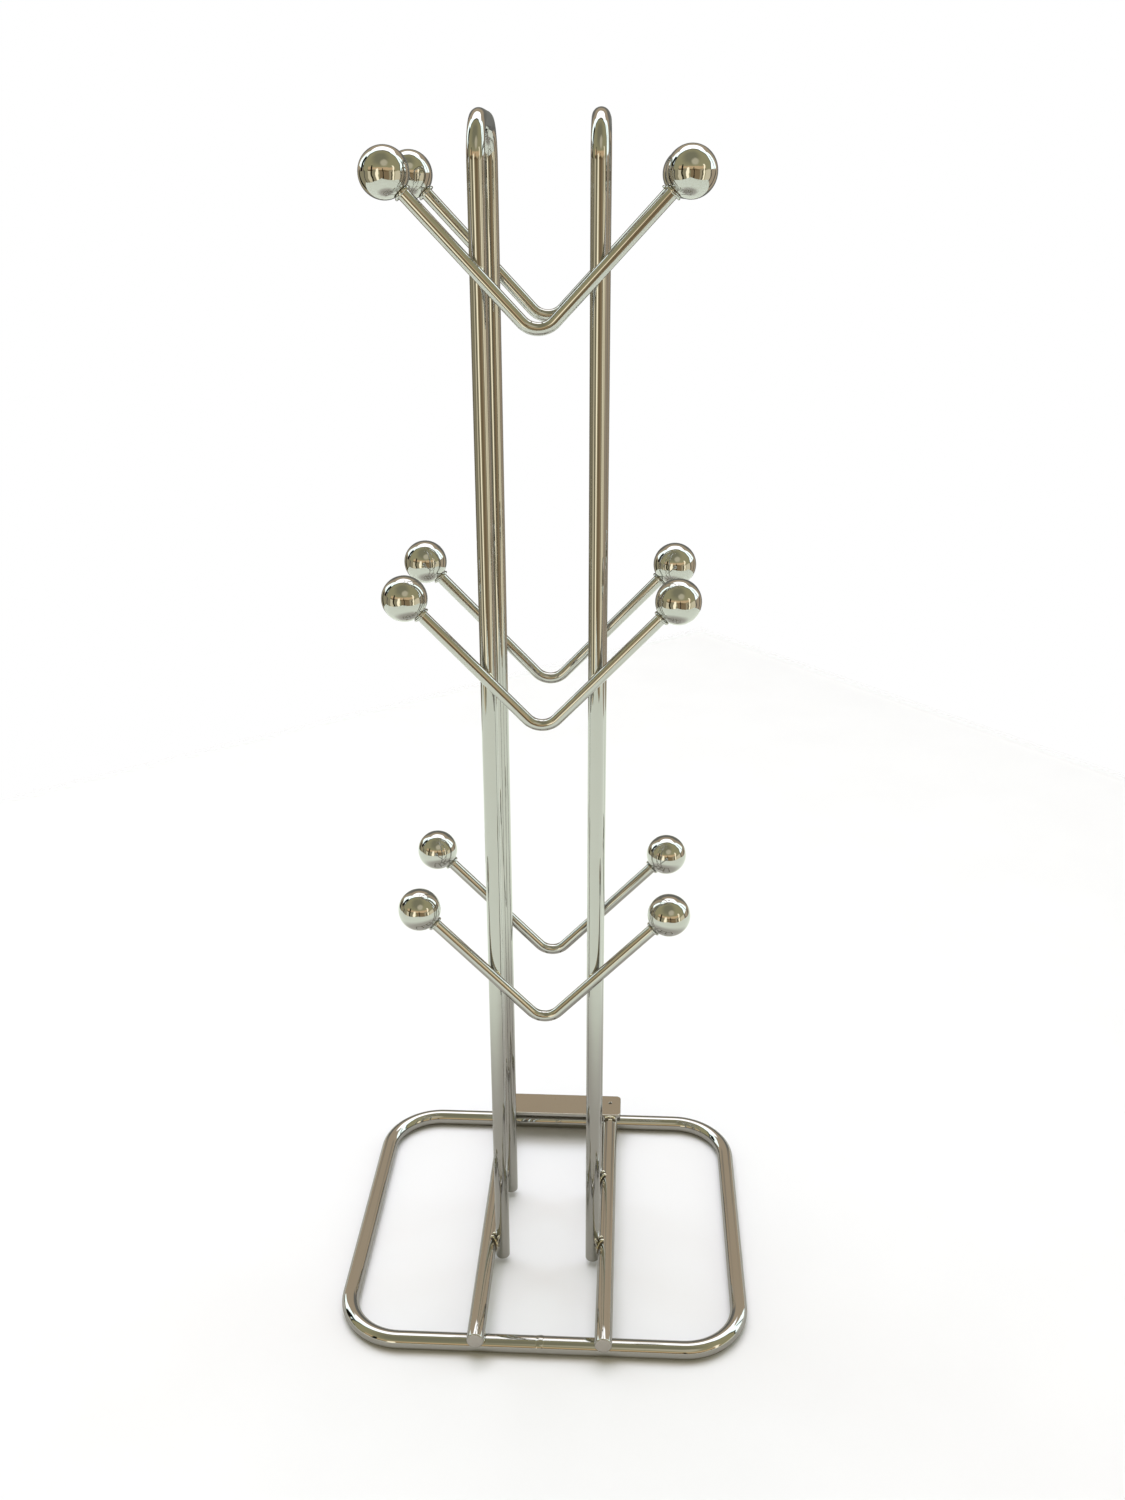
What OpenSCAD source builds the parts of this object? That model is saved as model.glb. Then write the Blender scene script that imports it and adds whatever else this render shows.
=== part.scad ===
// Chrome wire mug tree. Two hairpin uprights stand between the crossbars of a flat wire
// base. Three tiers of V-shaped wires, front and rear, carry the mugs, and every arm ends
// in a ball. X runs left to right, Y from front to rear, Z up, with the origin on the
// table under the middle of the base.

/* [Base] */
// Overall width of the base ring
base_width = 156; // [125:1:200]
// Overall depth of the base ring, front to rear
base_depth = 138; // [110:1:180]
// Diameter of the ring and crossbar wire
base_wire = 6.5; // [5:0.5:8]
// Radius of the ring's corners, to the middle of the wire
corner_radius = 22; // [14:1:32]
// Distance between the middles of the two crossbars
crossbar_spacing = 47; // [38:1:70]
// Length of each crossbar end that stands out past the ring
crossbar_overhang = 2; // [1:0.5:6]

/* [Rear plate] */
// Depth of the plate, front to rear
plate_depth = 14; // [9:1:20]
// Thickness of the plate
plate_thickness = 1.5; // [1:0.25:3]
// Radius of the plate's corners
plate_corner = 2; // [1:0.5:4]
// Width of plate that stands out past each crossbar
plate_lip = 1.5; // [0.5:0.5:6]
// Diameter of the dimple that the spot welder leaves over each crossbar
spot_diameter = 1.4; // [1:0.2:2]
// Depth of that dimple
spot_depth = 0.6; // [0.2:0.1:0.8]

/* [Uprights] */
// Diameter of the upright wire
upright_wire = 5.5; // [4:0.5:7]
// Distance between the front and rear legs of one upright, middle to middle
leg_spread = 39; // [30:1:56]
// Radius of the two bends at the top, to the middle of the wire
top_bend = 12; // [6:1:14]
// Gap between the cut end of a leg and the table
leg_clearance = 2.5; // [0.5:0.5:5]

/* [Arms] */
// Diameter of the arm wire
arm_wire = 4; // [3:0.5:5]
// Rise of each arm above the horizontal, in degrees
arm_angle = 46.3; // [35:0.1:55]
// Radius of the bend at the foot of each V, to the middle of the wire
arm_bend = 7; // [5:1:12]
// Drop in the wire's diameter round the foot of each V, where bending stretches it
bend_draw = 0.04; // [0.02:0.01:0.1]
// Distance from the middle of the tree out to the middle of a ball
arm_reach = 44.3; // [38:0.1:56]
// Height above the table of the lowest V, at the middle of the wire
low_tier_height = 119; // [90:1:160]
// Rise from the low tier to the middle tier
middle_tier_rise = 114.5; // [90:0.5:150]
// Rise from the middle tier to the top tier
top_tier_rise = 127; // [100:0.5:160]
// Height of the tree's tip above the foot of the top V
tip_rise = 61; // [50:0.5:80]

/* [Balls] */
// Diameter of each ball
ball_diameter = 15; // [11:0.5:20]
// Diameter of the neck where the wire enters the ball
neck_diameter = 5.8; // [5.5:0.1:8]
// Length of the neck outside the ball
neck_length = 1.1; // [0.5:0.1:3]
// Depth of the hole that the wire is pressed into
socket_depth = 7; // [4:0.5:9]
// Gap all round the wire in that hole
socket_clearance = 0.02; // [0:0.01:0.1]

/* [Welds] */
// Depth by which one wire settles into another where they are welded
weld_sink = 0.5; // [0.2:0.1:0.8]
// Depth by which the plate settles onto the crossbars
plate_sink = 0.3; // [0.1:0.1:0.5]
// Radius of the bead where a crossbar lies on the ring
crossbar_bead = 3.3; // [2.5:0.1:4]
// Radius of the bead where an upright meets a crossbar
upright_bead = 3.1; // [2.4:0.1:3.6]
// Radius of the bead where an arm crosses an upright
arm_bead = 2.3; // [1.8:0.1:2.8]
// Height of the plate's top above the bead at its front edge
plate_bead_step = 0.1; // [0.05:0.05:0.4]
// Width of the butt-weld ridge round each seam of the ring
seam_width = 3; // [1:0.5:5]
// Height of that ridge above the wire
seam_height = 0.2; // [0.1:0.05:0.4]
// Bevel round the cut end of a wire
end_bevel = 0.4; // [0.1:0.1:0.8]

/* [Hidden] */
SIDES = [["left", -1], ["right", 1]];
FACES = [["front", -1], ["rear", 1]];
TIERS = [
    ["low", low_tier_height],
    ["middle", low_tier_height + middle_tier_rise],
    ["top", low_tier_height + middle_tier_rise + top_tier_rise]
];

function arms_name(tier, face) = str("arms_", tier[0], "_", face[0]);
function ball_name(tier, face, side) = str("ball_", tier[0], "_", face[0], "_", side[0]);
function welds_name(tier) = str("arm_welds_", tier[0]);

$fn = 64;
CHROME = [0.80, 0.79, 0.76];
WELD = [0.62, 0.60, 0.56];
// Spare length that makes a cutting shape run clear through what it cuts
CUT = 1;

// Base: the middle of the ring's wire, and the crossbars that lie on it
ring_x = (base_width - base_wire) / 2;
ring_y = (base_depth - base_wire) / 2;
ring_z = base_wire / 2;
crossbar_x = crossbar_spacing / 2;
crossbar_z = ring_z + base_wire - weld_sink;
crossbar_end = base_depth / 2 + crossbar_overhang;
crossbar_top = crossbar_z + base_wire / 2;

// Rear plate: it ends flush with the rear ends of the crossbars
plate_width = crossbar_spacing + base_wire + 2 * plate_lip;
plate_y = crossbar_end - plate_depth;
plate_z = crossbar_top - plate_sink;
plate_top = plate_z + plate_thickness;
plate_bead = plate_top - crossbar_top - plate_bead_step;

// Uprights: each stands against the inner side of its crossbar
upright_x = crossbar_x - (base_wire + upright_wire) / 2 + weld_sink;
leg_y = leg_spread / 2;
tip_z = TIERS[2][1] + tip_rise;
upright_top = tip_z - upright_wire / 2;

// Arms: the V wires lie against the outer faces of the legs
arm_y = leg_y + (upright_wire + arm_wire) / 2 - weld_sink;
// The foot's bend runs on a little way inside each straight arm
foot_angle = arm_angle + 1;
bend_x = arm_bend * sin(arm_angle);
bend_z = arm_bend * (1 - cos(arm_angle));
ball_rise = bend_z + (arm_reach - bend_x) * tan(arm_angle);
leg_crossing_rise = bend_z + (upright_x - bend_x) * tan(arm_angle);

// Balls: distances from the ball's middle, out along the arm
neck_root = sqrt(pow(ball_diameter / 2, 2) - pow(neck_diameter / 2, 2));
neck_face = neck_root + neck_length;
socket_floor = neck_face - socket_depth;
arm_straight = (arm_reach - bend_x) / cos(arm_angle) - socket_floor;

// The ridge of a seam stops short of the table on both sides
seam_arc = 240;

// --- Wire stock ---

// A straight wire from the origin up Z
module rod(length, wire) {
    cylinder(h = length, d = wire);
}

// A straight wire from the origin up Z, with a bevel round its first end
module cut_rod(length, wire) {
    cylinder(h = end_bevel, d1 = wire - 2 * end_bevel, d2 = wire);
    translate([0, 0, end_bevel]) rod(length - end_bevel, wire);
}

// A bent wire about the Z axis, from the X axis round through the angle
module bend(radius, wire, angle) {
    rotate_extrude(angle = angle) translate([radius, 0]) circle(d = wire);
}

// --- Base ring ---

// The straight front or rear wire of the ring, over one crossbar
module ring_end_wire(side, face) {
    translate([side * crossbar_x - base_wire, face * ring_y, ring_z])
        rotate([0, 90, 0]) rod(2 * base_wire, base_wire);
}

// Half of the ring: a U that opens towards the middle
module ring_half() {
    for (face = [-1, 1]) {
        translate([0, face * ring_y, ring_z])
            rotate([0, 90, 0]) rod(ring_x - corner_radius, base_wire);
        translate([ring_x - corner_radius, face * (ring_y - corner_radius), ring_z])
            rotate([0, 0, face < 0 ? -90 : 0]) bend(corner_radius, base_wire, 90);
    }
    translate([ring_x, corner_radius - ring_y, ring_z])
        rotate([-90, 0, 0]) rod(2 * (ring_y - corner_radius), base_wire);
}

module ring_left() {
    color(CHROME) mirror([1, 0, 0]) ring_half();
}

module ring_right() {
    color(CHROME) ring_half();
}

// A low ridge round the wire where the two halves of the ring butt together
module ring_seam_welds() {
    wall = base_wire / 2;
    ridge = [
        [wall, -seam_width / 2],
        [wall + seam_height, -seam_width / 4],
        [wall + seam_height, seam_width / 4],
        [wall, seam_width / 2]
    ];
    color(WELD) for (face = [-1, 1]) translate([0, face * ring_y, ring_z])
        rotate([90 - seam_arc / 2, 0, 0]) rotate([0, 90, 0]) rotate([0, 0, 90])
            rotate_extrude(angle = seam_arc) polygon(ridge);
}

// --- Crossbars ---

// The full round bar, before it is let into the ring
module crossbar_wire(side) {
    for (face = [-1, 1]) translate([side * crossbar_x, face * crossbar_end, crossbar_z])
        rotate([face * 90, 0, 0]) cut_rod(crossbar_end, base_wire);
}

module crossbar(side) {
    color(CHROME) difference() {
        crossbar_wire(side);
        for (face = [-1, 1]) ring_end_wire(side, face);
    }
}

// A bead fills the crevice round each place where a crossbar lies on the ring
module crossbar_welds() {
    color(WELD) for (side = [-1, 1], face = [-1, 1]) difference() {
        translate([side * crossbar_x, face * ring_y, (ring_z + crossbar_z) / 2])
            sphere(r = crossbar_bead);
        ring_end_wire(side, face);
        crossbar_wire(side);
    }
}

// --- Rear plate ---

// A flat plate with round corners, before it settles onto the crossbars
module plate_blank() {
    corner_x = plate_width / 2 - plate_corner;
    translate([-corner_x, plate_y, plate_z])
        cube([2 * corner_x, plate_depth, plate_thickness]);
    translate([-plate_width / 2, plate_y + plate_corner, plate_z])
        cube([plate_width, plate_depth - 2 * plate_corner, plate_thickness]);
    for (x = [-corner_x, corner_x], y = [plate_corner, plate_depth - plate_corner])
        translate([x, plate_y + y, plate_z]) cylinder(h = plate_thickness, r = plate_corner);
}

module rear_plate() {
    color(CHROME) difference() {
        plate_blank();
        for (side = [-1, 1]) {
            translate([side * crossbar_x, plate_y - CUT, crossbar_z])
                rotate([-90, 0, 0]) rod(plate_depth + 2 * CUT, base_wire);
            translate([side * crossbar_x, ring_y, plate_top - spot_depth])
                cylinder(h = spot_depth + CUT, d = spot_diameter);
        }
    }
}

// A small bead on each crossbar at the front edge of the plate
module plate_welds() {
    color(WELD) for (side = [-1, 1]) difference() {
        translate([side * crossbar_x, plate_y, crossbar_top]) sphere(r = plate_bead);
        crossbar_wire(side);
        plate_blank();
    }
}

// --- Uprights ---

// One hairpin, drawn flat: X is the tree's Y and Y is the tree's Z
module hairpin() {
    for (face = [-1, 1]) {
        translate([face * leg_y, leg_clearance, 0])
            rotate([-90, 0, 0]) cut_rod(upright_top - top_bend - leg_clearance, upright_wire);
        translate([face * (leg_y - top_bend), upright_top - top_bend, 0])
            rotate([0, 0, face < 0 ? 90 : 0]) bend(top_bend, upright_wire, 90);
    }
    translate([top_bend - leg_y, upright_top, 0])
        rotate([0, 90, 0]) rod(2 * (leg_y - top_bend), upright_wire);
}

// The straight part of one leg, as a cutting shape
module leg(side, face) {
    translate([side * upright_x, face * leg_y, leg_clearance])
        rod(upright_top - top_bend - leg_clearance, upright_wire);
}

module upright(side) {
    color(CHROME) difference() {
        translate([side * upright_x, 0, 0]) rotate([90, 0, 90]) hairpin();
        crossbar_wire(side);
    }
}

// A bead over each place where a leg stands against a crossbar
module upright_welds() {
    seam_x = (crossbar_x - base_wire / 2 + upright_x + upright_wire / 2) / 2;
    color(WELD) for (side = [-1, 1], face = [-1, 1]) difference() {
        translate([side * seam_x, face * leg_y, crossbar_z + upright_bead / 3])
            sphere(r = upright_bead);
        crossbar_wire(side);
        leg(side, face);
    }
}

// --- Arms ---

// The straight part of one arm, from the bend to the floor of the ball's socket
module arm_rod() {
    translate([bend_x, bend_z, 0])
        rotate([0, 0, arm_angle]) rotate([0, 90, 0]) rod(arm_straight, arm_wire);
}

// One V wire, drawn flat with the foot of the V at the origin
module v_wire() {
    translate([0, arm_bend, 0]) rotate([0, 0, -90 - foot_angle])
        bend(arm_bend, arm_wire - bend_draw, 2 * foot_angle);
    arm_rod();
    mirror([1, 0, 0]) arm_rod();
}

// Stands a flat V up on one face of the tree
module place_v(height, face) {
    translate([0, face * arm_y, height]) rotate([90, 0, 0]) children();
}

module arms(tier, face) {
    color(CHROME) difference() {
        place_v(tier[1], face[1]) v_wire();
        for (side = [-1, 1]) leg(side, face[1]);
    }
}

// A bead round each place where an arm crosses a leg
module arm_welds(tier) {
    seam_y = (arm_y - arm_wire / 2 + leg_y + upright_wire / 2) / 2;
    color(WELD) for (side = [-1, 1], face = [-1, 1]) difference() {
        translate([side * upright_x, face * seam_y, tier[1] + leg_crossing_rise])
            sphere(r = arm_bead);
        leg(side, face);
        place_v(tier[1], face) mirror([side < 0 ? 1 : 0, 0, 0]) arm_rod();
    }
}

// --- Balls ---

// A ball with its neck pointing down Z, and a blind hole up the neck
module ball_knob() {
    difference() {
        union() {
            sphere(d = ball_diameter);
            translate([0, 0, -neck_face]) cylinder(h = neck_face, d = neck_diameter);
        }
        translate([0, 0, -neck_face - CUT])
            cylinder(h = socket_depth + CUT, d = arm_wire + 2 * socket_clearance);
    }
}

module ball(tier, face, side) {
    color(CHROME) translate([side[1] * arm_reach, face[1] * arm_y, tier[1] + ball_rise])
        rotate([0, side[1] * (90 - arm_angle), 0]) ball_knob();
}

// --- Drawing ---

ring_left();
ring_right();
ring_seam_welds();
crossbar(-1);  // crossbar_left
crossbar(1);  // crossbar_right
crossbar_welds();
rear_plate();
plate_welds();
upright(-1);  // upright_left
upright(1);  // upright_right
upright_welds();
for (tier = TIERS, face = FACES)
    arms(tier, face);
for (tier = TIERS)
    arm_welds(tier);
for (tier = TIERS, face = FACES, side = SIDES)
    ball(tier, face, side);
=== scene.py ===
"""Chrome wire mug tree: the visible pieces, their plating, and the studio they stand in.

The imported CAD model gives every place. Each wire is fed and bent here as a wire former would bend it, each
ball is turned, and each weld is a cluster of small beads or ridges. All lengths are in metres unless a name
or a docstring says otherwise.
"""

import logging
import math
from dataclasses import dataclass, field
from enum import Enum
from typing import Callable, Optional, Sequence

import bmesh
import bpy
from mathutils import Matrix, Vector, noise


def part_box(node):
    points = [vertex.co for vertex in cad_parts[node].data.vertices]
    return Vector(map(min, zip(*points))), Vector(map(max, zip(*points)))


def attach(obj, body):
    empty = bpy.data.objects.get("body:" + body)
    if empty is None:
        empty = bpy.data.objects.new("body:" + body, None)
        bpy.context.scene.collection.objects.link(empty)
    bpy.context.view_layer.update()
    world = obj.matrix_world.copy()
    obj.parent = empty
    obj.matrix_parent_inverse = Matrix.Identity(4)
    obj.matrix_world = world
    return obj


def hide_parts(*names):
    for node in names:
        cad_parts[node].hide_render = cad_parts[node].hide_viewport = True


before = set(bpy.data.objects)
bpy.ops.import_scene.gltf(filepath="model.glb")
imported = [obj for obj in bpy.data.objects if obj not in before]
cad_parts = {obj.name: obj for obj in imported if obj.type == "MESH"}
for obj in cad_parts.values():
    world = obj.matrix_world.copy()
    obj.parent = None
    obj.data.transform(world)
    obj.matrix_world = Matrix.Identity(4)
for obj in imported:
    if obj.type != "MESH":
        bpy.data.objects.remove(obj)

LOG = logging.getLogger("mug_tree")
MM = 0.001
BODY = "root"

X_AXIS = Vector((1, 0, 0))
Y_AXIS = Vector((0, 1, 0))
Z_AXIS = Vector((0, 0, 1))

Colour = tuple[float, float, float]


class Way(Enum):
    """A direction by its sign."""

    @property
    def word(self) -> str:
        """The word that node names use."""
        return self.name.lower()


class Side(Way):
    """Left or right of the tree, by the sign of X."""

    LEFT = -1
    RIGHT = 1


class Face(Way):
    """Front or rear of the tree, by the sign of Y."""

    FRONT = -1
    REAR = 1


class Tier(Enum):
    """The three levels of arms."""

    LOW = "low"
    MIDDLE = "middle"
    TOP = "top"


class Slot(Enum):
    """The record's material slots."""

    WIRE = "wire_chrome"
    BALL = "ball_chrome"
    PLATE = "plate_chrome"
    WELD = "weld"


# --- Materials ---


class NodeSheet:
    """A short way to add and join shader nodes in one tree."""

    def __init__(self, tree: bpy.types.NodeTree) -> None:
        """Starts with an empty tree.

        Args:
            tree: The material's or the world's node tree.
        """
        self.tree = tree
        tree.nodes.clear()

    def add(self, kind: str, inputs: Optional[dict] = None, **settings: object) -> bpy.types.Node:
        """Adds one node.

        Args:
            kind: The node's type without its "ShaderNode" prefix.
            inputs: Socket name or number to a value, or to another node's output socket.
            **settings: Properties of the node itself.

        Returns:
            The new node.
        """
        node = self.tree.nodes.new("ShaderNode" + kind)
        for name, value in settings.items():
            setattr(node, name, value)
        for name, value in (inputs or {}).items():
            if isinstance(value, bpy.types.NodeSocket):
                self.tree.links.new(value, node.inputs[name])
            else:
                node.inputs[name].default_value = value
        return node

    def math(self, operation: str, *values: object) -> bpy.types.NodeSocket:
        """Adds a Math node and returns its output.

        Args:
            operation: The Math node's operation.
            *values: Numbers or sockets, in order.

        Returns:
            The result's socket.
        """
        return self.add("Math", dict(enumerate(values)), operation=operation).outputs[0]

    def ramp(self, value: object, low: float, high: float, to_low: float = 0.0,
             to_high: float = 1.0) -> bpy.types.NodeSocket:
        """Maps a value smoothly from one range to another, and clamps it.

        Args:
            value: The number or socket to map.
            low: Start of the range that is read.
            high: End of the range that is read.
            to_low: The result at low.
            to_high: The result at high.

        Returns:
            The result's socket.
        """
        node = self.add("MapRange", {0: value, 1: low, 2: high, 3: to_low, 4: to_high},
                        interpolation_type="SMOOTHSTEP")
        return node.outputs[0]

    def mix(self, factor: object, first: object, second: object) -> bpy.types.NodeSocket:
        """Mixes two colours.

        Args:
            factor: 0 for the first colour, 1 for the second.
            first: A colour or socket.
            second: A colour or socket.

        Returns:
            The mixed colour's socket.
        """
        node = self.add("Mix", data_type="RGBA")
        for number, value in ((0, factor), (6, first), (7, second)):
            if isinstance(value, bpy.types.NodeSocket):
                self.tree.links.new(value, node.inputs[number])
            else:
                node.inputs[number].default_value = value if number == 0 else (*value[:3], 1)
        return node.outputs[2]

    def noise(self, vector: bpy.types.NodeSocket, size: float, detail: float = 2.0,
              distortion: float = 0.0) -> bpy.types.NodeSocket:
        """Adds a noise texture with features of a given size.

        Args:
            vector: The coordinates that it reads.
            size: The size of its largest features.
            detail: How many finer layers it has.
            distortion: How far it swirls.

        Returns:
            The noise value's socket.
        """
        inputs = {"Vector": vector, "Scale": 1 / size, "Detail": detail, "Distortion": distortion}
        return self.add("TexNoise", inputs).outputs[0]


OWN_PLACE = "object"
STOCK_PLACE = "stock"


@dataclass(frozen=True)
class ChromeFinish:
    """Bright plating over steel, with faint ripples, handling smudges and water spots."""

    name: str
    colour: Colour
    roughness: float
    smudge_roughness: float
    ripple_size: float
    ripple_height: float
    grain_height: float = 0.0
    grain_size: float = 0.25 * MM
    grain_stretch: float = 0.03
    smudge_size: float = 14 * MM
    streak_size: float = 2.2 * MM
    cloud_size: float = 30 * MM
    spot_size: float = 1.1 * MM
    stain: Colour = (0.42, 0.37, 0.30)
    stain_amount: float = 0.12
    reads: str = OWN_PLACE

    def coordinates(self, sheet: NodeSheet) -> bpy.types.NodeSocket:
        """Returns the coordinates that the patterns follow: the piece's own, or those of its unbent wire."""
        if self.reads == OWN_PLACE:
            return sheet.add("TexCoord").outputs["Object"]
        return sheet.add("Attribute", attribute_name=self.reads).outputs["Vector"]

    def material(self) -> bpy.types.Material:
        """Builds the plating's material.

        Returns:
            The new material.
        """
        made = bpy.data.materials.new(self.name)
        made.use_nodes = True
        sheet = NodeSheet(made.node_tree)
        place = self.coordinates(sheet)

        smudges = sheet.ramp(sheet.noise(place, self.smudge_size, 3, 0.6), 0.46, 0.72)
        streaks = sheet.ramp(sheet.noise(place, self.streak_size, 4, 0.2), 0.55, 0.8)
        veil = sheet.math("MULTIPLY", smudges, sheet.math("ADD", 0.55, sheet.math("MULTIPLY", streaks, 0.45)))
        rough = sheet.ramp(veil, 0, 1, self.roughness, self.smudge_roughness)

        cloud = sheet.ramp(sheet.noise(place, self.cloud_size, 2), 0.35, 0.7)
        spots = sheet.ramp(sheet.noise(place, self.spot_size, 1), 0.68, 0.76)
        stained = sheet.math("MULTIPLY", sheet.math("MAXIMUM", sheet.math("MULTIPLY", cloud, 0.5), spots),
                             self.stain_amount)
        colour = sheet.mix(stained, self.colour, self.stain)

        ripples = sheet.noise(place, self.ripple_size, 1.5, 0.3)
        bump = sheet.add("Bump", {"Strength": 1.0, "Distance": self.ripple_height, "Height": ripples})
        if self.grain_height:
            stretch = sheet.add("Mapping", {"Vector": place, "Scale": (1, 1, self.grain_stretch)})
            lines = sheet.noise(stretch.outputs[0], self.grain_size, 2)
            bump = sheet.add("Bump", {"Strength": 1.0, "Distance": self.grain_height, "Height": lines,
                                      "Normal": bump.outputs[0]})
        shader = sheet.add("BsdfPrincipled", {
            "Base Color": colour, "Metallic": 1.0, "Roughness": rough, "Normal": bump.outputs[0]})
        out = sheet.add("OutputMaterial")
        sheet.tree.links.new(shader.outputs[0], out.inputs[0])
        return made


WIRE_FINISH = ChromeFinish("bright_wire_plating", (0.535, 0.53, 0.52), 0.015, 0.07, 9 * MM, 0.03 * MM,
                           grain_height=0.0004 * MM, reads=STOCK_PLACE)
BALL_FINISH = ChromeFinish("polished_ball_plating", (0.56, 0.56, 0.545), 0.012, 0.06, 9 * MM, 0.018 * MM)
PLATE_FINISH = ChromeFinish("sheet_plating", (0.54, 0.53, 0.51), 0.06, 0.16, 12 * MM, 0.05 * MM,
                            stain_amount=0.2)
# Weld beads: plated weld metal painted a bright cream, a painted highlight, with their own brown stain.
WELD_PAINTED_HIGHLIGHT_FINISH = ChromeFinish("weld_bead_plating", (0.84, 0.81, 0.71), 0.07, 0.2, 1.2 * MM, 0.08 * MM,
                           stain=(0.30, 0.22, 0.12), stain_amount=0.4)
CUT_FINISH = ChromeFinish("sheared_end_plating", (0.66, 0.63, 0.62), 0.34, 0.5, 0.9 * MM, 0.05 * MM,
                          stain_amount=0.2)
# Near black: painted shade, inside the plate's dimples and as dark streaks beside the weld ridges.
PAINTED_SHADE_FINISH = ChromeFinish("burnt_weld_crater", (0.055, 0.045, 0.038), 0.3, 0.5, 0.5 * MM, 0.05 * MM,
                             stain_amount=0.5)


@dataclass(frozen=True)
class FloorFinish:
    """A plain pale tabletop, brighter to the eye than in the plating, that ends in a soft edge. In the
    plating it shows a painted shadow round the tree, which fades out farther away.
    """

    name: str = "pale_tabletop"
    seen: Colour = (0.80, 0.805, 0.88)
    mirrored_near: Colour = (0.44, 0.43, 0.42)
    mirrored_far: Colour = (0.80, 0.86, 0.82)
    near_radius: float = 0.11
    far_radius: float = 0.24
    roughness: float = 0.6
    half_side: float = 0.62
    turn: float = math.radians(40)
    grain_size: float = 60 * MM
    grain_shade: float = 0.985
    middle: tuple[float, float, float] = (0.02, -0.05, 0)
    edge: float = 0.02

    def material(self) -> bpy.types.Material:
        """Builds the tabletop's material.

        Returns:
            The new material.
        """
        made = bpy.data.materials.new(self.name)
        made.use_nodes = True
        sheet = NodeSheet(made.node_tree)
        place = sheet.add("TexCoord").outputs["Object"]
        grain = sheet.ramp(sheet.noise(place, self.grain_size, 4), 0.3, 0.7)
        clean = sheet.mix(grain, self.seen, tuple(self.grain_shade * part for part in self.seen))
        seen = sheet.add("LightPath").outputs["Is Camera Ray"]
        # Reflected rays see a painted shadow near the tree, fading to the far colour farther out.
        distance = sheet.add("VectorMath", {0: place}, operation="LENGTH").outputs["Value"]
        away = sheet.ramp(distance, self.near_radius, self.far_radius)
        colour = sheet.mix(seen, sheet.mix(away, self.mirrored_near, self.mirrored_far), clean)
        shader = sheet.add("BsdfPrincipled", {"Base Color": colour, "Roughness": self.roughness})
        turned = sheet.add("Mapping", {"Vector": place, "Location": self.middle,
                                       "Rotation": (0, 0, self.turn)}, vector_type="TEXTURE")
        split = sheet.add("SeparateXYZ", {0: turned.outputs[0]}).outputs
        over = [sheet.ramp(sheet.math("ABSOLUTE", split[axis]), self.half_side, self.half_side + self.edge)
                for axis in (0, 1)]
        clear = sheet.add("BsdfTransparent")
        both = sheet.add("MixShader", {0: sheet.math("MAXIMUM", *over), 1: shader.outputs[0],
                                       2: clear.outputs[0]})
        out = sheet.add("OutputMaterial")
        sheet.tree.links.new(both.outputs[0], out.inputs[0])
        return made


class PaintShop:
    """Makes each finish's material once and hands it out."""

    def __init__(self) -> None:
        """Starts with no material made."""
        self.made: dict[str, bpy.types.Material] = {}

    def get(self, finish: ChromeFinish | FloorFinish) -> bpy.types.Material:
        """Returns the finish's material, made at its first use."""
        if finish.name not in self.made:
            self.made[finish.name] = finish.material()
        return self.made[finish.name]


# --- Workshop tools ---


def add_object(name: str, data: bpy.types.ID) -> bpy.types.Object:
    """Puts a new object in the scene.

    Args:
        name: The object's name.
        data: Its mesh, lamp or camera.

    Returns:
        The new object.
    """
    made = bpy.data.objects.new(name, data)
    bpy.context.scene.collection.objects.link(made)
    return made


@dataclass
class PieceMaker:
    """Turns a finished bmesh into a piece that stands for a CAD node."""

    paint: PaintShop
    merge_gap: float = 0.002 * MM
    sharp_angle: float = math.radians(35)
    count: int = 0

    def finish(self, work: bmesh.types.BMesh, node: str, slot: Slot,
               finishes: Sequence[ChromeFinish]) -> bpy.types.Object:
        """Closes the work, dresses it and puts it in the frame.

        Args:
            work: The shape, with its place in its vertices. It is freed.
            node: The CAD node that the piece stands for.
            slot: The record's slot. It is not used.
            finishes: The piece's finishes, in the order of its faces' material numbers.

        Returns:
            The new piece.
        """
        bmesh.ops.remove_doubles(work, verts=work.verts[:], dist=self.merge_gap)
        bmesh.ops.recalc_face_normals(work, faces=work.faces[:])
        mesh = bpy.data.meshes.new("plated_" + node)
        work.to_mesh(mesh)
        work.free()
        mesh.shade_smooth()
        mesh.set_sharp_from_angle(angle=self.sharp_angle)
        for finish in finishes:
            mesh.materials.append(self.paint.get(finish))
        piece = add_object("plated_" + node, mesh)
        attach(piece, BODY)
        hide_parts(node)
        self.count += 1
        LOG.info("%s: %d faces", piece.name, len(mesh.polygons))
        return piece


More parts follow.
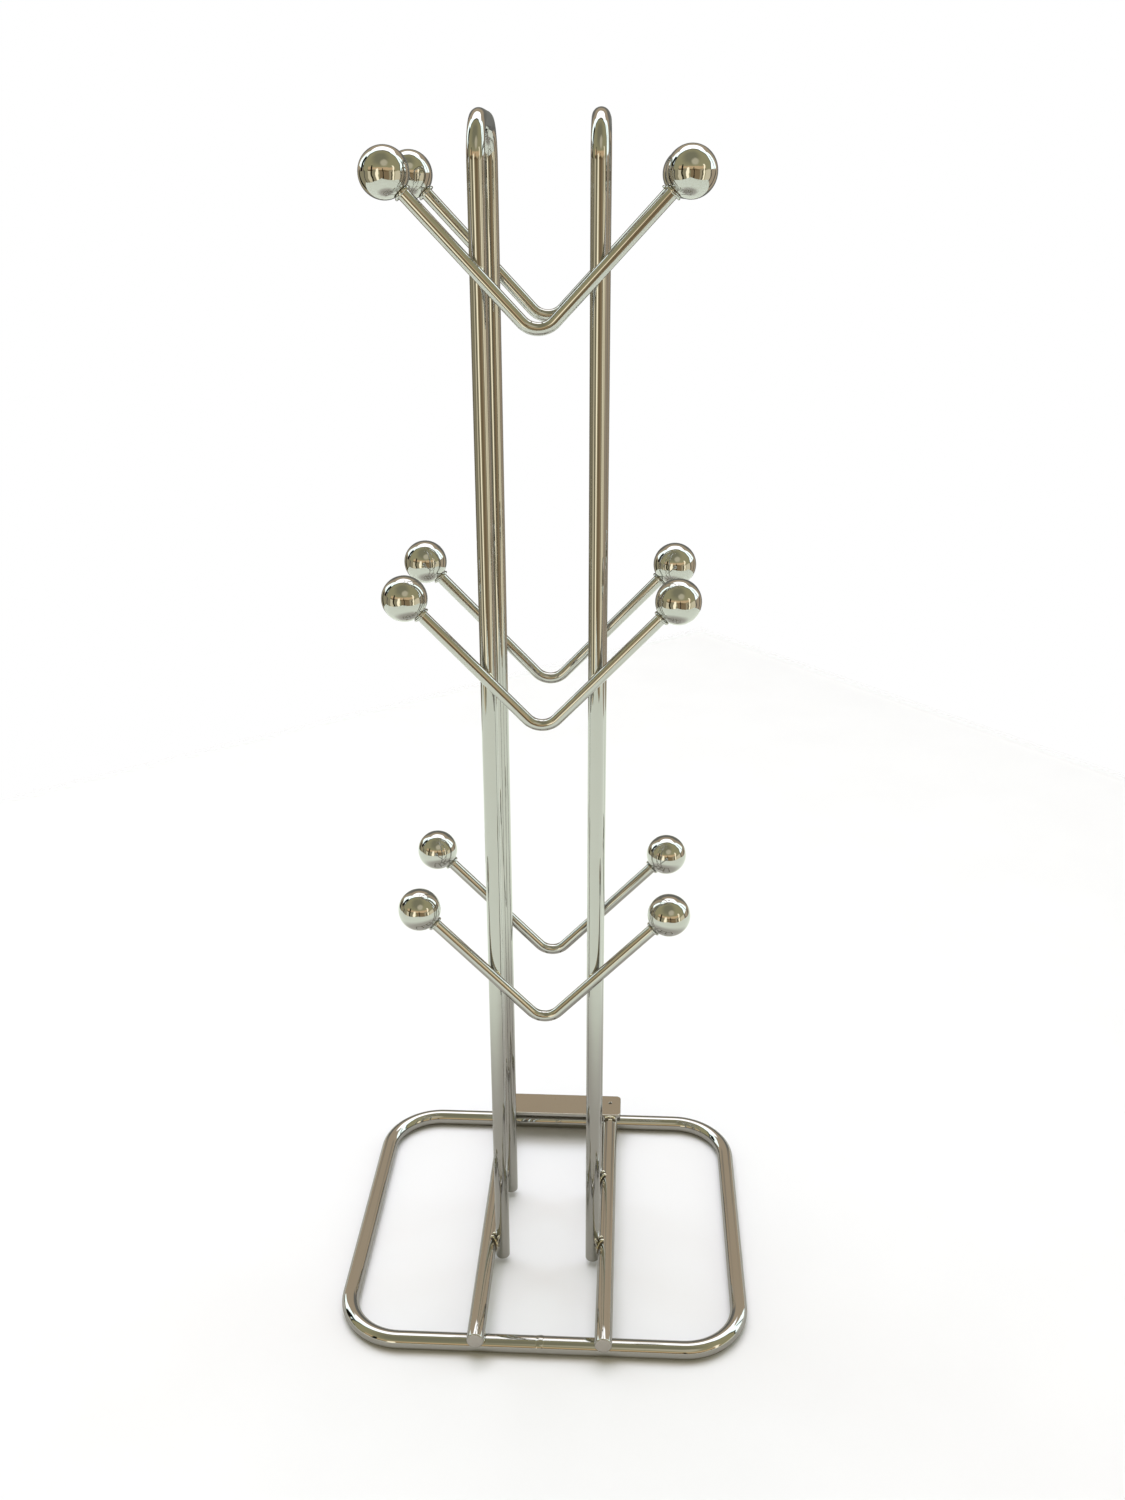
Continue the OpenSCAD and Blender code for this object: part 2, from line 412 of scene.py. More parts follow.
class WireBender:
    """Feeds round wire and bends it, and leaves the tube in a bmesh.

    Every vertex remembers where it was on the straight wire in the vector attribute "stock", so that the
    plating's drawing lines follow the bends.
    """

    FEED_STEP = 9 * MM
    BEND_STEP = math.radians(5)
    CUT_STEPS = 5

    def __init__(self, wire: float, place: Vector, heading: Vector, sides: int = 40) -> None:
        """Clamps the wire's first end.

        Args:
            wire: The wire's diameter.
            place: Where the wire starts.
            heading: The way that the wire is fed.
            sides: How many flats approximate its round section.
        """
        self.radius = wire / 2
        self.place = place.copy()
        self.heading = heading.normalized()
        self.run = 0.0
        self.sides = sides
        self.work = bmesh.new()
        self.stock = self.work.verts.layers.float_vector.new(STOCK_PLACE)
        self.rim: list[bmesh.types.BMEdge] = []

    def _open(self, radius: float, material: int) -> None:
        """Draws the first end's disc and takes its edge as the rim."""
        turn = Z_AXIS.rotation_difference(self.heading).to_matrix().to_4x4()
        disc = bmesh.ops.create_circle(self.work, cap_ends=True, segments=self.sides, radius=radius,
                                       matrix=Matrix.Translation(self.place) @ turn)
        inverse = turn.inverted()
        for vert in disc["verts"]:
            flat = inverse @ (vert.co - self.place)
            vert[self.stock] = flat * (self.radius / radius)
        self.rim = list(dict.fromkeys(edge for vert in disc["verts"] for edge in vert.link_edges))
        for face in self.work.faces:
            face.material_index = material

    def _step(self, move: Matrix, length: float, scale: float = 1.0, material: int = 0) -> None:
        """Draws the rim out by one step.

        Args:
            move: How the section moves.
            length: How much wire the step uses.
            scale: How much the section grows.
            material: The material number of the new faces.
        """
        drawn = bmesh.ops.extrude_edge_only(self.work, edges=self.rim)["geom"]
        verts = [item for item in drawn if isinstance(item, bmesh.types.BMVert)]
        for face in (item for item in drawn if isinstance(item, bmesh.types.BMFace)):
            face.material_index = material
        if scale != 1.0:
            at_place = Matrix.Translation(-self.place)
            bmesh.ops.scale(self.work, vec=(scale,) * 3, space=at_place, verts=verts)
        bmesh.ops.transform(self.work, matrix=move, verts=verts)
        self.place = move @ self.place
        self.run += length
        for vert in verts:
            vert[self.stock] = (*vert[self.stock][:2], self.run)
        fresh = set(verts)
        self.rim = [item for item in drawn if isinstance(item, bmesh.types.BMEdge)
                    and item.verts[0] in fresh and item.verts[1] in fresh]

    def start(self, rounding: float = 0.0, material: int = 0) -> None:
        """Starts the wire, plain or with a cut face.

        Args:
            rounding: The radius of the cut's rounded edge, or 0 for a plain end that another piece hides.
            material: The material number of the end's face.
        """
        self._open(self.radius - rounding, material)
        if rounding:
            self._round_edge(self.radius - rounding, lambda angle: (
                rounding * (1 - math.cos(angle)), self.radius - rounding * (1 - math.sin(angle))))

    def end(self, rounding: float = 0.0, material: int = 0) -> None:
        """Ends the wire, plain or with a cut face.

        Args:
            rounding: The radius of the cut's rounded edge, or 0 for a plain end that another piece hides.
            material: The material number of the end's face.
        """
        if rounding:
            self._round_edge(self.radius, lambda angle: (
                rounding * math.sin(angle), self.radius - rounding * (1 - math.cos(angle))))
        for face in bmesh.ops.edgeloop_fill(self.work, edges=self.rim)["faces"]:
            face.material_index = material

    def _round_edge(self, first_radius: float, outline: Callable[[float], tuple[float, float]]) -> None:
        """Draws the rounded edge of a cut end.

        Args:
            first_radius: The section's radius where the edge starts.
            outline: The depth and the section's radius at each angle of the quarter circle.
        """
        at, radius = 0.0, first_radius
        for step in range(1, self.CUT_STEPS + 1):
            depth, wide = outline(step / self.CUT_STEPS * math.pi / 2)
            self._step(Matrix.Translation(self.heading * (depth - at)), depth - at, wide / radius)
            at, radius = depth, wide

    def feed(self, length: float) -> None:
        """Feeds straight wire.

        Args:
            length: How much wire to feed.
        """
        steps = max(1, round(length / self.FEED_STEP))
        for _ in range(steps):
            self._step(Matrix.Translation(self.heading * (length / steps)), length / steps)

    def bend(self, angle: float, radius: float, towards: Vector) -> None:
        """Bends the wire round a pin.

        Args:
            angle: How far the heading turns.
            radius: The bend's radius, to the middle of the wire.
            towards: The direction of the pin from the wire.
        """
        pin = self.place + towards.normalized() * radius
        axis = self.heading.cross(towards).normalized()
        steps = max(2, round(angle / self.BEND_STEP))
        turn = Matrix.Rotation(angle / steps, 4, axis)
        about = Matrix.Translation(pin) @ turn @ Matrix.Translation(-pin)
        for _ in range(steps):
            self._step(about, radius * angle / steps)
            self.heading = (turn @ self.heading).normalized()


class Lathe:
    """Turns an outline round an axis."""

    def __init__(self, centre: Vector, axis: Vector, sides: int = 72) -> None:
        """Sets the stock between centres.

        Args:
            centre: The point from which heights are measured.
            axis: The direction in which heights grow.
            sides: How many steps make a full turn.
        """
        self.centre = centre
        self.axis = axis.normalized()
        self.out = self.axis.orthogonal().normalized()
        self.sides = sides
        self.work = bmesh.new()
        self.tip: Optional[bmesh.types.BMVert] = None

    def _at(self, radius: float, height: float) -> Vector:
        """Returns the point at a radius and a height."""
        return self.centre + self.out * radius + self.axis * height

    def start(self, radius: float, height: float) -> None:
        """Puts the tool at the outline's first point."""
        self.tip = self.work.verts.new(self._at(radius, height))

    def line(self, radius: float, height: float, steps: int = 1) -> None:
        """Cuts straight to a point.

        Args:
            radius: The point's radius.
            height: The point's height.
            steps: How many segments the cut has.
        """
        goal = self._at(radius, height)
        start = self.tip.co.copy()
        for step in range(1, steps + 1):
            self._extend(start.lerp(goal, step / steps))

    def arc(self, radius: float, height: float, angle: float, steps: int) -> None:
        """Cuts an arc about a point.

        Args:
            radius: The radius of the arc's middle.
            height: The height of the arc's middle.
            angle: How far the arc turns, from the axis outwards when positive.
            steps: How many segments the arc has.
        """
        middle = self._at(radius, height)
        normal = self.axis.cross(self.out)
        start = self.tip.co - middle
        for step in range(1, steps + 1):
            self._extend(middle + Matrix.Rotation(angle * step / steps, 3, normal) @ start)

    def _extend(self, goal: Vector) -> None:
        """Extrudes the last point to a new one."""
        made = bmesh.ops.extrude_vert_indiv(self.work, verts=[self.tip])
        self.tip = made["verts"][0]
        self.tip.co = goal

    def turn(self) -> bmesh.types.BMesh:
        """Spins the outline into a closed shape.

        Returns:
            The turned shape.
        """
        geometry = self.work.verts[:] + self.work.edges[:]
        bmesh.ops.spin(self.work, geom=geometry, cent=self.centre, axis=self.axis, angle=2 * math.pi,
                       steps=self.sides, use_merge=True)
        bmesh.ops.remove_doubles(self.work, verts=self.work.verts[:], dist=0.001 * MM)
        return self.work


@dataclass(frozen=True)
class WeldRun:
    """A ridge of weld metal that winds part of the way round a wire, in degrees and millimetres."""

    turn: tuple[float, float]
    creep: tuple[float, float]
    radius: float
    # Material 0 paints the weld's highlight, material 1 paints a dark streak of shade.
    material: int = 0
    lift: float = 0.0


@dataclass
class WeldTorch:
    """Lays small uneven beads and ridges of weld metal into one bmesh. Material 0 is the weld metal with its
    painted highlight, material 1 is painted shade.
    """

    PLATED = 0
    BURNT = 1
    SEED_STEP = 7.3

    unevenness: float = 0.16
    lump_size: float = 1.1 * MM
    seed: float = 0.0
    fineness: int = 4
    work: bmesh.types.BMesh = field(default_factory=bmesh.new)

    def _next_shift(self) -> Vector:
        """Returns the place in the lump pattern that the next bead reads."""
        self.seed += self.SEED_STEP
        return Vector((self.seed, -self.seed, self.seed / 2))

    def bead(self, centre: Vector, radii: Vector, lean: Optional[Matrix] = None) -> None:
        """Lays one plated bead, whose bright weld colour is a painted highlight.

        Args:
            centre: The bead's middle.
            radii: Half its size along each of its own axes.
            lean: How it is turned, or None if it isn't.
        """
        turned = (lean or Matrix.Identity(3)).to_4x4()
        place = Matrix.Translation(centre) @ turned @ Matrix.Diagonal((*radii, 1))
        made = bmesh.ops.create_icosphere(self.work, subdivisions=self.fineness, radius=1.0, matrix=place)
        shift = self._next_shift()
        for vert in made["verts"]:
            away = vert.co - centre
            lump = noise.noise(away / self.lump_size + shift)
            vert.co = centre + away * (1 + self.unevenness * lump)

    def wind(self, run: WeldRun, wire: float, centre: Vector, axis: Vector, start: Vector,
             rise: Vector) -> None:
        """Lays one ridge on the skin of a wire, by drawing a sphere out along the ridge's way.

        Args:
            run: The ridge.
            wire: The wire's diameter.
            centre: The point in the wire's middle from which the ridge creeps.
            axis: The wire's direction.
            start: The direction at which the ridge's turn is 0.
            rise: The direction at which the ridge's turn is 90 degrees.
        """
        reach = wire / 2 + run.lift * MM
        first, last = (math.radians(angle) for angle in run.turn)
        creep_rate = (run.creep[1] - run.creep[0]) * MM
        made = bmesh.ops.create_icosphere(self.work, subdivisions=self.fineness, radius=1.0)
        shift = self._next_shift()
        for vert in made["verts"]:
            flat_x, flat_y, height = vert.co
            share = (height + 1) / 2
            turn = first + share * (last - first)
            out = start * math.cos(turn) + rise * math.sin(turn)
            round_wire = (rise * math.cos(turn) - start * math.sin(turn)) * reach * (last - first)
            along = round_wire + axis * creep_rate
            middle = centre + axis * (run.creep[0] * MM + share * creep_rate) + out * reach
            lump = 1 + self.unevenness * noise.noise(middle / self.lump_size + shift)
            wide = run.radius * MM * math.sqrt(1 + height ** 2) * lump
            vert.co = middle + (out * flat_x + along.cross(out).normalized() * flat_y) * wide
        for face in {face for vert in made["verts"] for face in vert.link_faces}:
            face.material_index = run.material


# --- The tree ---

# Rise of every arm above the horizontal
ARM_RISE = math.radians(46.3)


@dataclass
class BaseRing:
    """The flat ring that stands on the table: two U-shaped halves, butt-welded front and rear."""

    wire: float
    half_width: float
    half_depth: float
    corner_radius: float = 22 * MM
    seam_half_width: float = 1.7 * MM
    seam_height: float = 0.18 * MM
    seam_steps: int = 11
    seam_lump_size: float = 1.3 * MM
    sides: int = 48

    @classmethod
    def from_frame(cls) -> "BaseRing":
        """Reads the ring's size from its CAD node."""
        low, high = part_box("ring_right")
        wire = high[2] - low[2]
        return cls(wire=wire, half_width=high[0] - wire / 2, half_depth=high[1] - wire / 2)

    def build(self, maker: PieceMaker) -> None:
        """Makes both halves and their seam welds.

        Args:
            maker: The piece maker.
        """
        for side in Side:
            self._half(side, maker)
        self._seams(maker)

    def _half(self, side: Side, maker: PieceMaker) -> None:
        """Bends one half, from the front seam round to the rear one."""
        across = X_AXIS * side.value
        end_run = self.half_width - self.corner_radius
        bender = WireBender(self.wire, Vector((0, -self.half_depth, self.wire / 2)), across, self.sides)
        bender.start()
        bender.feed(end_run)
        bender.bend(math.pi / 2, self.corner_radius, Y_AXIS)
        bender.feed(2 * (self.half_depth - self.corner_radius))
        bender.bend(math.pi / 2, self.corner_radius, -across)
        bender.feed(end_run)
        bender.end()
        maker.finish(bender.work, f"ring_{side.word}", Slot.WIRE, [WIRE_FINISH])

    def _seams(self, maker: PieceMaker) -> None:
        """Makes the ridges at both seams as one piece."""
        whole = bmesh.new()
        for face in Face:
            ridge = self._ridge(Vector((0, face.value * self.half_depth, self.wire / 2)))
            mesh = bpy.data.meshes.new("ridge")
            ridge.to_mesh(mesh)
            ridge.free()
            whole.from_mesh(mesh)
            bpy.data.meshes.remove(mesh)
        maker.finish(whole, "ring_seam_welds", Slot.WELD, [WIRE_FINISH])

    def _ridge(self, centre: Vector) -> bmesh.types.BMesh:
        """Turns a low uneven ridge round the wire, which thins out towards the table.

        Args:
            centre: The seam's middle.

        Returns:
            The ridge.
        """
        wall = self.wire / 2
        lathe = Lathe(centre, X_AXIS, sides=64)
        lathe.start(wall - self.seam_height, -self.seam_half_width)
        for step in range(1, self.seam_steps):
            along = -1 + 2 * step / self.seam_steps
            rise = self.seam_height * math.cos(along * math.pi / 2)
            lathe.line(wall + rise, along * self.seam_half_width)
        lathe.line(wall - self.seam_height, self.seam_half_width)
        ridge = lathe.turn()
        for vert in ridge.verts:
            away = vert.co - centre
            away.x = 0
            over = away.length - wall
            if over > 0:
                show = min(1.0, max(0.0, 0.9 + away.z / wall))
                lump = 0.75 + 0.5 * noise.noise(vert.co / self.seam_lump_size)
                vert.co -= away.normalized() * over * (1 - show * lump)
        return ridge


@dataclass
class Crossbars:
    """The two straight wires on top of the ring, and the beads that hold them."""

    ring: BaseRing
    wire: float
    middle_x: float
    middle_z: float
    cut_rounding: float = 0.45 * MM
    bead_spacing: float = 1.9 * MM
    bead_radii: tuple[float, float, float] = (1.25 * MM, 1.25 * MM, 0.85 * MM)

    @classmethod
    def from_frame(cls, ring: BaseRing) -> "Crossbars":
        """Reads the crossbars' size from the right one's CAD node."""
        low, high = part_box("crossbar_right")
        wire = high[0] - low[0]
        return cls(ring, wire, (low[0] + high[0]) / 2, high[2] - wire / 2)

    def build(self, maker: PieceMaker) -> None:
        """Makes both crossbars and the beads at their four crossings.

        Args:
            maker: The piece maker.
        """
        torch = WeldTorch()
        for side in Side:
            low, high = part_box(f"crossbar_{side.word}")
            middle_x = side.value * self.middle_x
            bender = WireBender(self.wire, Vector((middle_x, low[1], self.middle_z)), Y_AXIS, self.ring.sides)
            bender.start(self.cut_rounding, 1)
            bender.feed(high[1] - low[1] - 2 * self.cut_rounding)
            bender.end(self.cut_rounding, 1)
            maker.finish(bender.work, f"crossbar_{side.word}", Slot.WIRE, [WIRE_FINISH, CUT_FINISH])
            contact = (self.middle_z + self.ring.wire / 2) / 2
            for face in Face:
                crossing = Vector((middle_x, face.value * self.ring.half_depth, contact))
                for way in (-1, 1):
                    for slip in (-1, 1):
                        place = crossing + Vector((way, slip, 0)) * self.bead_spacing
                        torch.bead(place, Vector(self.bead_radii))
        # The beads take the weld colour, whose bright cream is a painted highlight.
        maker.finish(torch.work, "crossbar_welds", Slot.WELD, [WELD_PAINTED_HIGHLIGHT_FINISH])


@dataclass
class RearPlate:
    """The small flat plate on the rear ends of the crossbars."""

    FLAT = 0.999

    corner_radius: float = 2 * MM
    corner_steps: int = 10
    edge_rounding: float = 0.25 * MM
    edge_steps: int = 3
    edge_margin: float = 0.12 * MM
    dimple_radius: float = 0.75 * MM
    dimple_depth: float = 0.55 * MM
    dimple_steepness: float = 2.2
    dimple_cuts: int = 8
    # Dark runs are streaks of painted shade; the others are weld metal with a painted highlight.
    front_runs: tuple[WeldRun, ...] = (
        WeldRun((44, 134), (-0.45, -0.3), 0.66, lift=0.5),
        WeldRun((38, 84), (-1.3, -1.15), 0.5, WeldTorch.BURNT),
        WeldRun((92, 142), (-1.2, -1.5), 0.58, WeldTorch.BURNT),
        WeldRun((70, 104), (-1.6, -1.8), 0.45))

    def build(self, maker: PieceMaker, bars: "Crossbars", dimple_y: float) -> None:
        """Makes the plate with its weld dimples, painted dark inside as painted shade, and the weld ridges at
        its front edge, which paint a highlight and dark streaks of shade.

        Args:
            maker: The piece maker.
            bars: The crossbars under the plate.
            dimple_y: Where the dimples lie, front to rear.
        """
        low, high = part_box("rear_plate")
        size = [high[i] - low[i] for i in range(3)]
        centre = [(high[i] + low[i]) / 2 for i in range(3)]
        work = bmesh.new()
        bmesh.ops.create_cube(work, size=1.0, matrix=Matrix.Translation(centre) @ Matrix.Diagonal((*size, 1)))
        upright = [e for e in work.edges if abs(e.verts[0].co.z - e.verts[1].co.z) > 0.5 * size[2]]
        self._bevel(work, upright, self.corner_radius, self.corner_steps)
        rims = [e for e in work.edges if abs(e.verts[0].co.z - e.verts[1].co.z) < 0.5 * size[2]
                and len(e.link_faces) == 2 and abs(e.link_faces[0].normal.z - e.link_faces[1].normal.z) > 0.5]
        self._bevel(work, rims, self.edge_rounding, self.edge_steps)
        flats = [face for face in work.faces if abs(face.normal.z) > self.FLAT]
        bmesh.ops.inset_region(work, faces=flats, thickness=self.edge_margin, use_even_offset=True)
        for side in Side:
            self._dimple(work, Vector((side.value * bars.middle_x, dimple_y, high[2])))
        maker.finish(work, "rear_plate", Slot.PLATE, [PLATE_FINISH, PAINTED_SHADE_FINISH])

        torch = WeldTorch(seed=40, unevenness=0.35, lump_size=0.9 * MM)
        for side in Side:
            edge = Vector((side.value * bars.middle_x, low[1], bars.middle_z))
            for run in self.front_runs:
                torch.wind(run, bars.wire, edge, Y_AXIS, X_AXIS, Z_AXIS)
        maker.finish(torch.work, "plate_welds", Slot.WELD, [WELD_PAINTED_HIGHLIGHT_FINISH, PAINTED_SHADE_FINISH])

    @staticmethod
    def _bevel(work: bmesh.types.BMesh, edges: list[bmesh.types.BMEdge], radius: float, steps: int) -> None:
        """Rounds some edges of the plate."""
        bmesh.ops.bevel(work, geom=edges, offset=radius, offset_type="OFFSET", affect="EDGES", segments=steps,
                        profile=0.5, material=-1)

    def _dimple(self, work: bmesh.types.BMesh, centre: Vector) -> None:
        """Presses a round dimple into the plate's top and paints it near black, a painted shade.

        Args:
            work: The plate.
            centre: The dimple's middle, on the top face.
        """
        reach = self.dimple_radius * 1.6
        for axis in (X_AXIS, Y_AXIS):
            for step in range(-self.dimple_cuts, self.dimple_cuts + 1):
                plane = centre + axis * (reach * step / self.dimple_cuts)
                top = [face for face in work.faces if face.normal.z > self.FLAT
                       and face.verts[0].co.z > centre.z - 0.01 * MM]
                edges = list(dict.fromkeys(edge for face in top for edge in face.edges))
                verts = list(dict.fromkeys(vert for face in top for vert in face.verts))
                bmesh.ops.bisect_plane(work, geom=top + edges + verts, dist=1e-7, plane_co=plane,
                                       plane_no=axis)
        for vert in work.verts:
            away = (vert.co - centre).xy.length / self.dimple_radius
            if abs(vert.co.z - centre.z) < 1e-6 and away < 1:
                vert.co.z -= self.dimple_depth * min(1.0, self.dimple_steepness * (1 - away))
        # The dimple's inner faces take the near-black painted shade.
        for face in work.faces:
            if (face.calc_center_median() - centre).length < self.dimple_radius * 0.95:
                face.material_index = 1


@dataclass
class Upright:
    """One hairpin of wire that stands inside its crossbar, legs down."""

    side: Side
    wire: float
    middle_x: float
    leg_y: float
    foot_z: float
    top_z: float
    top_bend: float = 12 * MM
    cut_rounding: float = 0.7 * MM
    sides: int = 48

    @classmethod
    def from_frame(cls, side: Side) -> "Upright":
        """Reads one upright's size from its CAD node."""
        low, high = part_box(f"upright_{side.word}")
        wire = high[0] - low[0]
        return cls(side, wire, (low[0] + high[0]) / 2, high[1] - wire / 2, low[2], high[2] - wire / 2)

    def build(self, maker: PieceMaker) -> None:
        """Bends the hairpin from its front leg over to its rear one.

        Args:
            maker: The piece maker.
        """
        leg = self.top_z - self.top_bend - self.foot_z - self.cut_rounding
        foot = Vector((self.middle_x, -self.leg_y, self.foot_z))
        bender = WireBender(self.wire, foot, Z_AXIS, self.sides)
        bender.start(self.cut_rounding, 1)
        bender.feed(leg)
        bender.bend(math.pi / 2, self.top_bend, Y_AXIS)
        bender.feed(2 * (self.leg_y - self.top_bend))
        bender.bend(math.pi / 2, self.top_bend, -Z_AXIS)
        bender.feed(leg)
        bender.end(self.cut_rounding, 1)
        maker.finish(bender.work, f"upright_{self.side.word}", Slot.WIRE, [WIRE_FINISH, CUT_FINISH])


@dataclass
class UprightWelds:
    """The weld ridges between each leg and its crossbar: over the crossbar's shoulder and up the leg. Bright
    ridges paint a highlight and dark ones paint shade beside them.
    """

    upright: Upright
    bars: Crossbars
    # Dark runs are streaks of painted shade; the rest are weld metal with a painted highlight.
    bar_runs: tuple[WeldRun, ...] = (
        WeldRun((-40, 74), (-3.7, -0.3), 0.82),
        WeldRun((-5, 68), (-2.2, 0.7), 0.55, WeldTorch.BURNT),
        WeldRun((-10, 76), (-4.8, -1.7), 0.42, WeldTorch.BURNT),
        WeldRun((0, 64), (0.6, 1.6), 0.8),
        WeldRun((-40, 40), (2.3, 2.7), 0.8))
    leg_runs: tuple[WeldRun, ...] = (
        WeldRun((30, 68), (-1.2, 5.4), 0.58),
        WeldRun((22, 44), (1.0, 4.9), 0.48, WeldTorch.BURNT))

    def build(self, maker: PieceMaker) -> None:
        """Lays the same ridges at every leg.

        Args:
            maker: The piece maker.
        """
        torch = WeldTorch(seed=90, unevenness=0.35, lump_size=0.9 * MM)
        for side in Side:
            outwards = X_AXIS * side.value
            for face in Face:
                leg_y = face.value * self.upright.leg_y
                on_bar = Vector((side.value * self.bars.middle_x, leg_y, self.bars.middle_z))
                on_leg = Vector((side.value * abs(self.upright.middle_x), leg_y, self.bars.middle_z))
                for run in self.bar_runs:
                    torch.wind(run, self.bars.wire, on_bar, Y_AXIS, -outwards, Z_AXIS)
                for run in self.leg_runs:
                    torch.wind(run, self.upright.wire, on_leg, Z_AXIS, outwards, -Y_AXIS)
        maker.finish(torch.work, "upright_welds", Slot.WELD, [WELD_PAINTED_HIGHLIGHT_FINISH, PAINTED_SHADE_FINISH])


@dataclass
class VWire:
    """One V of thinner wire: two arms that rise from a bent foot."""

    tier: Tier
    face: Face
    wire: float
    middle_y: float
    foot_z: float
    end_x: float
    foot_bend: float = 7 * MM

    @classmethod
    def from_frame(cls, tier: Tier, face: Face) -> "VWire":
        """Reads one V's size from its CAD node."""
        low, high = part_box(f"arms_{tier.value}_{face.word}")
        wire = high[1] - low[1]
        end_x = high[0] - wire / 2 * math.sin(ARM_RISE)
        return cls(tier, face, wire, (low[1] + high[1]) / 2, low[2] + wire / 2, end_x)

    def rise_at(self, across: float) -> float:
        """Returns the height of the arm's middle at a distance from the tree's middle."""
        bend_x = self.foot_bend * math.sin(ARM_RISE)
        bend_z = self.foot_bend * (1 - math.cos(ARM_RISE))
        return self.foot_z + bend_z + (across - bend_x) * math.tan(ARM_RISE)

    def build(self, maker: PieceMaker) -> None:
        """Bends the V from its left end, down round the foot and up to its right end.

        Args:
            maker: The piece maker.
        """
        down = Vector((math.cos(ARM_RISE), 0, -math.sin(ARM_RISE)))
        inwards = Vector((math.sin(ARM_RISE), 0, math.cos(ARM_RISE)))
        arm = (self.end_x - self.foot_bend * math.sin(ARM_RISE)) / math.cos(ARM_RISE)
        start = Vector((-self.end_x, self.middle_y, self.rise_at(self.end_x)))
        bender = WireBender(self.wire, start, down, sides=40)
        bender.start()
        bender.feed(arm)
        bender.bend(2 * ARM_RISE, self.foot_bend, inwards)
        bender.feed(arm)
        bender.end()
        maker.finish(bender.work, f"arms_{self.tier.value}_{self.face.word}", Slot.WIRE, [WIRE_FINISH])


@dataclass
class Ball:
    """A turned ball with a grooved neck, pressed on the end of an arm."""

    tier: Tier
    face: Face
    side: Side
    centre: Vector
    radius: float = 7.5 * MM
    neck_radius: float = 2.9 * MM
    neck_length: float = 1.1 * MM
    bore_radius: float = 2.03 * MM
    bore_depth: float = 6.9 * MM
    groove_depth: float = 0.22 * MM
    groove_width: float = 0.25 * MM
    groove_slope: float = 0.2 * MM
    lip: float = 0.28 * MM
    bore_bevel: float = 0.12 * MM

    @classmethod
    def from_frame(cls, tier: Tier, face: Face, side: Side) -> "Ball":
        """Reads one ball's place from its CAD node, whose neck points in and down."""
        low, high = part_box(f"ball_{tier.value}_{face.word}_{side.word}")
        outer_x = high[0] if side is Side.RIGHT else low[0]
        centre = Vector((outer_x - side.value * cls.radius, (low[1] + high[1]) / 2, high[2] - cls.radius))
        return cls(tier, face, side, centre)

    def build(self, maker: PieceMaker) -> None:
        """Turns the ball, from its far pole round to the neck and up its bore.

        Args:
            maker: The piece maker.
        """
        inwards = Vector((-self.side.value * math.cos(ARM_RISE), 0, -math.sin(ARM_RISE)))
        lathe = Lathe(self.centre, inwards)
        groove = self.neck_radius - self.groove_depth
        shoulder = math.sqrt(self.radius ** 2 - groove ** 2)
        end = math.sqrt(self.radius ** 2 - self.neck_radius ** 2) + self.neck_length
        lathe.start(0, -self.radius)
        lathe.arc(0, 0, math.pi - math.asin(groove / self.radius), 52)
        lathe.line(groove, shoulder + self.groove_width, 2)
        lathe.line(self.neck_radius, shoulder + self.groove_width + self.groove_slope, 2)
        lathe.line(self.neck_radius, end - self.lip, 2)
        lathe.arc(self.neck_radius - self.lip, end - self.lip, -math.pi / 2, 5)
        lathe.line(self.bore_radius + self.bore_bevel, end, 2)
        lathe.line(self.bore_radius, end - self.bore_bevel, 2)
        lathe.line(self.bore_radius, end - self.bore_depth, 3)
        lathe.line(0, end - self.bore_depth, 2)
        node = f"ball_{self.tier.value}_{self.face.word}_{self.side.word}"
        maker.finish(lathe.turn(), node, Slot.BALL, [BALL_FINISH])


@dataclass
class ArmTier:
    """One level of the tree: two V wires, their beads on the legs, and four balls."""

    tier: Tier
    upright: Upright
    bead_offset: float = 1.35 * MM
    bead_radii: tuple[float, float, float] = (1.35 * MM, 0.8 * MM, 0.8 * MM)

    def build(self, maker: PieceMaker) -> None:
        """Makes the level's pieces.

        Args:
            maker: The piece maker.
        """
        torch = WeldTorch(seed=150 + 10 * len(self.tier.value), lump_size=0.9 * MM)
        leg_x = abs(self.upright.middle_x)
        for face in Face:
            v_wire = VWire.from_frame(self.tier, face)
            v_wire.build(maker)
            contact_y = face.value * (self.upright.leg_y + self.upright.wire / 2)
            for side in Side:
                place = Vector((side.value * leg_x, contact_y, v_wire.rise_at(leg_x)))
                self._crossing(torch, place, side)
                Ball.from_frame(self.tier, face, side).build(maker)
        # The beads take the weld colour, whose bright cream is a painted highlight.
        maker.finish(torch.work, f"arm_welds_{self.tier.value}", Slot.WELD, [WELD_PAINTED_HIGHLIGHT_FINISH])

    def _crossing(self, torch: WeldTorch, place: Vector, side: Side) -> None:
        """Lays two small beads, above and below the arm where it crosses a leg."""
        along = Vector((side.value * math.cos(ARM_RISE), 0, math.sin(ARM_RISE)))
        across = Vector((-side.value * math.sin(ARM_RISE), 0, math.cos(ARM_RISE)))
        lean = Matrix((along, Y_AXIS, across)).transposed()
        for way in (-1, 1):
            torch.bead(place + across * way * self.bead_offset, Vector(self.bead_radii), lean)


# --- The studio ---

HALF_TURN = 180
DEGREE = math.pi / HALF_TURN


@dataclass(frozen=True)
class Panel:
    """One soft-edged patch of the room, by azimuth from the front (right is positive) and elevation."""

    name: str
    colour: Colour

    def mask(self, sheet: NodeSheet, azimuth: bpy.types.NodeSocket,
             elevation: bpy.types.NodeSocket) -> bpy.types.NodeSocket:
        """Returns where the patch shows.

        Args:
            sheet: The world's nodes.
            azimuth: The direction's azimuth in degrees.
            elevation: The direction's elevation in degrees.

        Returns:
            A socket that is 1 inside the patch and 0 outside.
        """
        raise NotImplementedError


